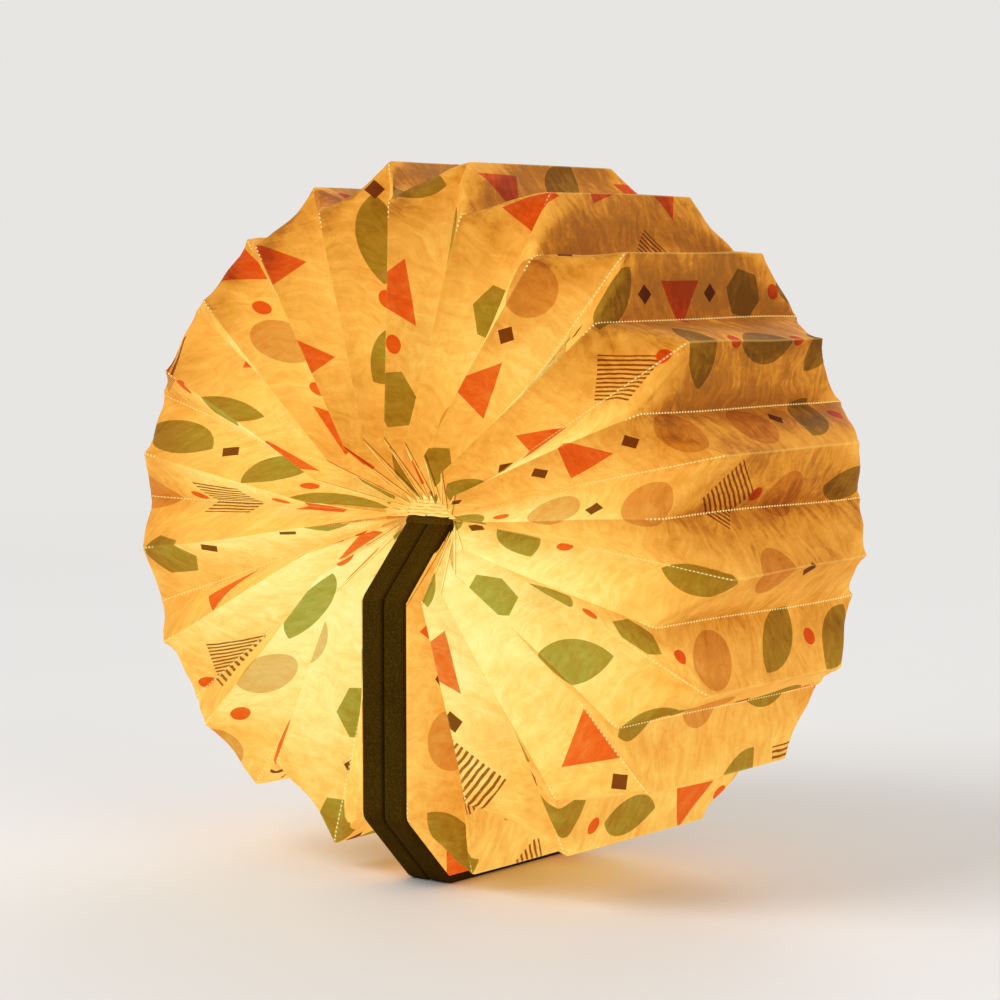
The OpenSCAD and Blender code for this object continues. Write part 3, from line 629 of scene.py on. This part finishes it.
def make_hub_paper(name, sign):
    """The paper's inner ends, gathered in layers on the end of the spine and closing the end of the light bar."""
    verts, faces, glow = [], [], []
    layers, points, thick, inner = 10, 15, 0.00052, 0.0382
    for j in range(layers):
        z = 0.13655 + 0.00062 * j
        half = 0.0095 * math.sqrt(1 - (j / (layers + 2.5)) ** 2) - 0.0005 * (j % 2)
        out = 0.0398 - 0.00012 * j - 0.0003 * (j % 2)
        base = len(verts)
        for t in range(points):
            y = half * (2 * t / (points - 1) - 1)
            sag = 0.00012 * math.sin(700 * y + 2.1 * j)
            for x, dz in ((inner, 0.0), (out, 0.0), (out, thick), (inner, thick)):
                verts.append((sign * x, y, z + sag + dz))
        # every other layer glows dimmer: painted shade between the layers
        level = 0.92 - 0.24 * (j % 2)
        for t in range(points - 1):
            a = base + 4 * t
            for q in range(4):
                faces.append((a + q, a + (q + 1) % 4, a + 4 + (q + 1) % 4, a + 4 + q))
                glow.append(level)
        faces += [tuple(base + q for q in range(4)), tuple(base + 4 * (points - 1) + q for q in (3, 2, 1, 0))]
        glow += [level, level]
    obj = new_piece(name, verts, faces, PAPER, "spine", smooth=False)
    mesh = obj.data
    uv, light = [], []
    for poly, g in zip(mesh.polygons, glow):
        for v in poly.vertices:
            uv.append((0.25 + mesh.vertices[v].co.z, 0.5 + mesh.vertices[v].co.y))
            light.append(g)
    sheet_data(mesh, uv, light, [FAR_FROM_CUT] * len(light))


def make_hub_fan(name, sign):
    """A fluted half ring of paper that closes the shade's end round the light bar."""
    r0, r1, rings, steps, flutes = 0.0098, 0.0205, 5, 160, 20
    verts, faces, glow, uv = [], [], [], []
    for q in range(rings):
        out = q / (rings - 1)
        for t in range(steps + 1):
            a = -0.05 + (math.pi + 0.10) * t / steps
            wave = math.cos(2 * math.pi * flutes * t / steps)
            r = r0 + (r1 - r0) * out
            x = 0.0392 + 0.0005 * wave * (0.3 + 0.7 * out)
            verts.append((sign * x, r * math.cos(a), SHADE_Z + r * math.sin(a)))
            # the flutes glow brighter where they stand out and dimmer where they sink: painted light and shade
            glow.append(0.80 + 0.10 * wave)
            uv.append((0.3 + verts[-1][2], 0.6 + verts[-1][1]))
    for q in range(rings - 1):
        for t in range(steps):
            a = q * (steps + 1) + t
            faces.append((a, a + 1, a + steps + 2, a + steps + 1))
    obj = new_piece(name, verts, faces, PAPER, "spine")
    corners = [v for f in faces for v in f]
    sheet_data(obj.data, [uv[v] for v in corners], [glow[v] for v in corners], [FAR_FROM_CUT] * len(corners))
    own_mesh(obj)


make_hub_paper("hub_paper_front", 1)
make_hub_paper("hub_paper_back", -1)
make_hub_fan("hub_fan_front", 1)
make_hub_fan("hub_fan_back", -1)

# ---- covers ----
LEN, TOP, HW, CUT = 0.135, 0.1337, 0.066, 0.027     # height, height of its fabric, half width and corner cut
D = math.sqrt(2) - 1                                # a corner cut at 45 degrees moves by this when its sides move by 1
INNER_Y, LINING_Y = 0.0100, 0.0103                  # a cover's inner face, and the face of the lining on it


def cover_outline(e, corner=0.0022, arc=5, step=0.0045):
    """Closed outline of a cover, moved in by e, with its corners rounded. The number of points doesn't depend on e."""
    c, d, g = CUT, e * D, LEN - TOP

    def ring(e, d):
        top = TOP - 0.3 * e                     # hardly rounded where the spine's fabric carries on
        return [(HW - c - d, e), (HW - e, c + d), (HW - e, LEN - c - d), (HW - c + g - d, top),
                (-(HW - c + g - d), top), (-(HW - e), LEN - c - d), (-(HW - e), c + d), (-(HW - c - d), e)]

    pts, full = np.array(ring(e, d)), np.array(ring(0.0, 0.0))
    out = []
    for j in range(8):
        a, b, z = pts[j], pts[(j + 1) % 8], pts[j - 1]
        la, lb = np.linalg.norm(z - a), np.linalg.norm(b - a)
        soft = 0.0006 if j in (3, 4) else corner      # the cover's fabric runs on into the spine's
        p0, p1 = a + (z - a) / la * soft, a + (b - a) / lb * soft
        for t in np.linspace(0, 1, arc):
            out.append((1 - t) ** 2 * p0 + 2 * t * (1 - t) * a + t * t * p1)
        q = b + (a - b) / lb * (0.0006 if (j + 1) % 8 in (3, 4) else corner)
        m = max(2, int(round(np.linalg.norm(full[(j + 1) % 8] - full[j]) / step)))
        for t in np.arange(1, m) / m:
            out.append(p1 + (q - p1) * t)
    return np.array(out)


def make_cover(side, sign):
    """The fabric of a cover, from the outer face, where the covers meet, to the inner one with its rounded edge."""
    y0, y1, r = 0.00003, INNER_Y, 0.0013
    deep, wide = 0.0028, 0.0014                       # the groove where the covers meet
    profile = [(deep * (1 - math.sin(a)), y0 + wide * (1 - math.cos(a))) for a in np.linspace(0, math.pi / 2, 8)]
    profile += [(0.0, y0 + wide + (y1 - y0 - wide - r) * t) for t in (0.25, 0.5, 0.75)]
    profile += [(r * (1 - math.cos(a)), y1 - r + r * math.sin(a)) for a in np.linspace(0, math.pi / 2, 6)]
    verts = []
    for e, y in profile:
        ring = cover_outline(e)
        m = len(ring)
        for p in ring:
            verts.append((p[0], sign * y, p[1]))
    faces = loft_faces(len(profile), m)
    obj = new_piece(f"velvet_{side}_cover", verts, faces, VELVET, f"{side}_cover")
    face_outwards(obj.data)
    if side == "right":
        open_port(obj)
    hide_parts(f"{side}_wrap")


def stadium_prism(y, z, width, height, points=12):
    """A stadium standing along z, pushed through the cover's back edge."""
    r = width / 2
    half = height / 2 - r
    outline = [(y + r * math.cos(a), z + half + r * math.sin(a)) for a in np.linspace(0, math.pi, points)]
    outline += [(y + r * math.cos(a), z - half + r * math.sin(a)) for a in np.linspace(math.pi, 2 * math.pi, points)]
    m = len(outline)
    verts = [(x, *p) for x in (-HW - 0.002, -HW + 0.003) for p in outline]
    mesh = bpy.data.meshes.new("cutter")
    mesh.from_pydata(verts, [], loft_faces(2, m))
    face_outwards(mesh)
    return bpy.data.objects.new("cutter", mesh)


def open_port(obj):
    """Cuts the fabric for the charging inlet and for the charge light above it."""
    for y, z, width, height in ((0.0068, 0.052, 0.0034, 0.0092), (0.0062, 0.0605, 0.0021, 0.0021)):
        cutter = stadium_prism(y, z, width, height)
        bpy.context.collection.objects.link(cutter)
        m = obj.modifiers.new("port", "BOOLEAN")
        m.operation, m.solver, m.object = "DIFFERENCE", "EXACT", cutter
        bpy.context.view_layer.update()
        new = bpy.data.meshes.new_from_object(obj.evaluated_get(bpy.context.evaluated_depsgraph_get()))
        obj.modifiers.clear()
        obj.data = new
        bpy.data.objects.remove(cutter)


for side, sign in (("right", 1), ("left", -1)):
    make_cover(side, sign)


def make_spine_band():
    """The fabric over the spine: a padded strip with a rolled bead along each hinge."""
    half, bead_y, bead_r, padding = 0.0106, 0.0094, 0.0012, 0.0003

    def bead(y):
        return math.sqrt(max(bead_r ** 2 - max(abs(y) - bead_y, 0.0) ** 2, 0.0))

    ys = [half * math.sin(a) for a in np.linspace(-math.pi / 2, math.pi / 2, 41)]
    section = [(y, HUB_Z + bead(y) + padding * (0.5 + 0.5 * math.cos(math.pi * min(abs(y) / 0.0090, 1)))) for y in ys]
    section += [(y, HUB_Z - 1.3 * bead(y)) for y in ys[-2:0:-1]]
    m = len(section)
    verts = []
    stops = (-1.0, -0.995, *np.linspace(-0.9, 0.9, 13), 0.995, 1.0)
    for e in stops:
        for y, z in section:
            inset = 0.00025 if abs(e) == 1 else 0.0
            end = 0.0401 - 0.75 * (z - 0.1338)          # the end slopes on from the cover's corner cut
            verts.append((e * end, y * (1 - inset / half), z - inset * (z - HUB_Z) / 0.0013))
    obj = new_piece("velvet_spine_band", verts, loft_faces(len(stops), m), VELVET_LIT, "spine")
    face_outwards(obj.data)
    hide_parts("spine_wrap")


make_spine_band()


def make_lining(side, sign):
    """The end of the paper, glued to the cover's inner face."""
    ring = cover_outline(0.0018)
    ring = np.array([(x, min(max(z, 0.0034), 0.1252)) for x, z in ring])
    m = len(ring)
    verts = [(x, sign * y, z) for y in (INNER_Y, LINING_Y) for x, z in ring]
    obj = new_piece(f"printed_lining_{side}", verts, loft_faces(2, m), PAPER, f"{side}_cover",
                    smooth=False)
    face_outwards(obj.data)
    mesh = obj.data
    start = -0.013 if sign > 0 else 1.093
    uv = []
    for poly in mesh.polygons:
        for v in poly.vertices:
            p = mesh.vertices[v].co
            uv.append((p.z + 0.3, start + sign * (p.x - HW) - 0.0135 * sign))
    # the lining glows at a fixed 0.6: painted light from the lamp, which falls on it inside the shade
    sheet_data(mesh, uv, [0.6] * len(uv), [FAR_FROM_CUT] * len(uv))
    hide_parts(f"{side}_lining")


for side, sign in (("right", 1), ("left", -1)):
    make_lining(side, sign)


# ---- stage ----
BACKDROP = (0.80, 0.79, 0.77)


def make_stage():
    """The pale floor, the studio's backdrop and three area lights."""
    n = Net("floor_pale")
    p = n.place()
    grain = n.noise(p, 3.0, 3.0, 0.5)
    n.surface(Base_Color=n.mix(grain, (0.74, 0.73, 0.71), (0.77, 0.76, 0.74)), Roughness=0.6, Specular_IOR_Level=0.2,
              Normal=n.bump(n.noise(p, 900.0, 2.0), 0.03, 0.0004))
    # far from the lamp the floor runs into the backdrop
    path = n.node("LightPath")
    x, y, _ = n.xyz(p)
    far = n.step(n.length(x, y), 1.1, 1.6)
    back = n.node("Emission", Color=(*BACKDROP, 1), Strength=1.0)
    both = n.node("MixShader")
    n.put(both.inputs[0], n.mul(far, path.outputs["Is Camera Ray"]))
    n.put(both.inputs[1], n.out.inputs["Surface"].links[0].from_socket)
    n.put(both.inputs[2], back.outputs[0])
    n.tree.links.new(both.outputs[0], n.out.inputs["Surface"])
    bpy.ops.mesh.primitive_circle_add(vertices=96, radius=14, fill_type="NGON", location=(0, 0, 0))
    floor = bpy.context.object
    floor.name = "floor"
    floor.data.materials.append(n.mat)
    world = bpy.data.worlds.new("studio")
    bpy.context.scene.world = world
    world.use_nodes = True
    tree = world.node_tree
    bg = tree.nodes["Background"]
    path = tree.nodes.new("ShaderNodeLightPath")
    mix = tree.nodes.new("ShaderNodeMix")
    mix.data_type = "RGBA"
    # what the camera sees, in reflections too, is the backdrop's colour; the light it gives is dimmer
    seen = path.outputs["Is Camera Ray"]
    for ray in ("Is Glossy Ray", "Is Transmission Ray"):
        either = tree.nodes.new("ShaderNodeMath")
        either.operation = "MAXIMUM"
        tree.links.new(seen, either.inputs[0])
        tree.links.new(path.outputs[ray], either.inputs[1])
        seen = either.outputs[0]
    tree.links.new(seen, mix.inputs[0])
    mix.inputs[6].default_value = (0.55, 0.55, 0.56, 1)
    mix.inputs[7].default_value = (*BACKDROP, 1)
    tree.links.new(mix.outputs[2], bg.inputs["Color"])
    bg.inputs["Strength"].default_value = 1.0

    def area(name, place, size, power, aim=(0, 0, 0.13)):
        data = bpy.data.lights.new(name, "AREA")
        data.shape, data.size, data.energy = "SQUARE", size, power
        obj = bpy.data.objects.new(name, data)
        bpy.context.collection.objects.link(obj)
        obj.location = place
        obj.rotation_euler = (Vector(aim) - Vector(place)).to_track_quat("-Z", "Y").to_euler()

    area("key", (1.6, -0.7, 1.7), 1.4, 34)
    area("fill", (0.6, 2.2, 1.2), 1.6, 9)
    area("back", (-1.9, -0.6, 1.6), 1.4, 14)


make_stage()
bpy.context.scene.view_settings.view_transform = "Standard"
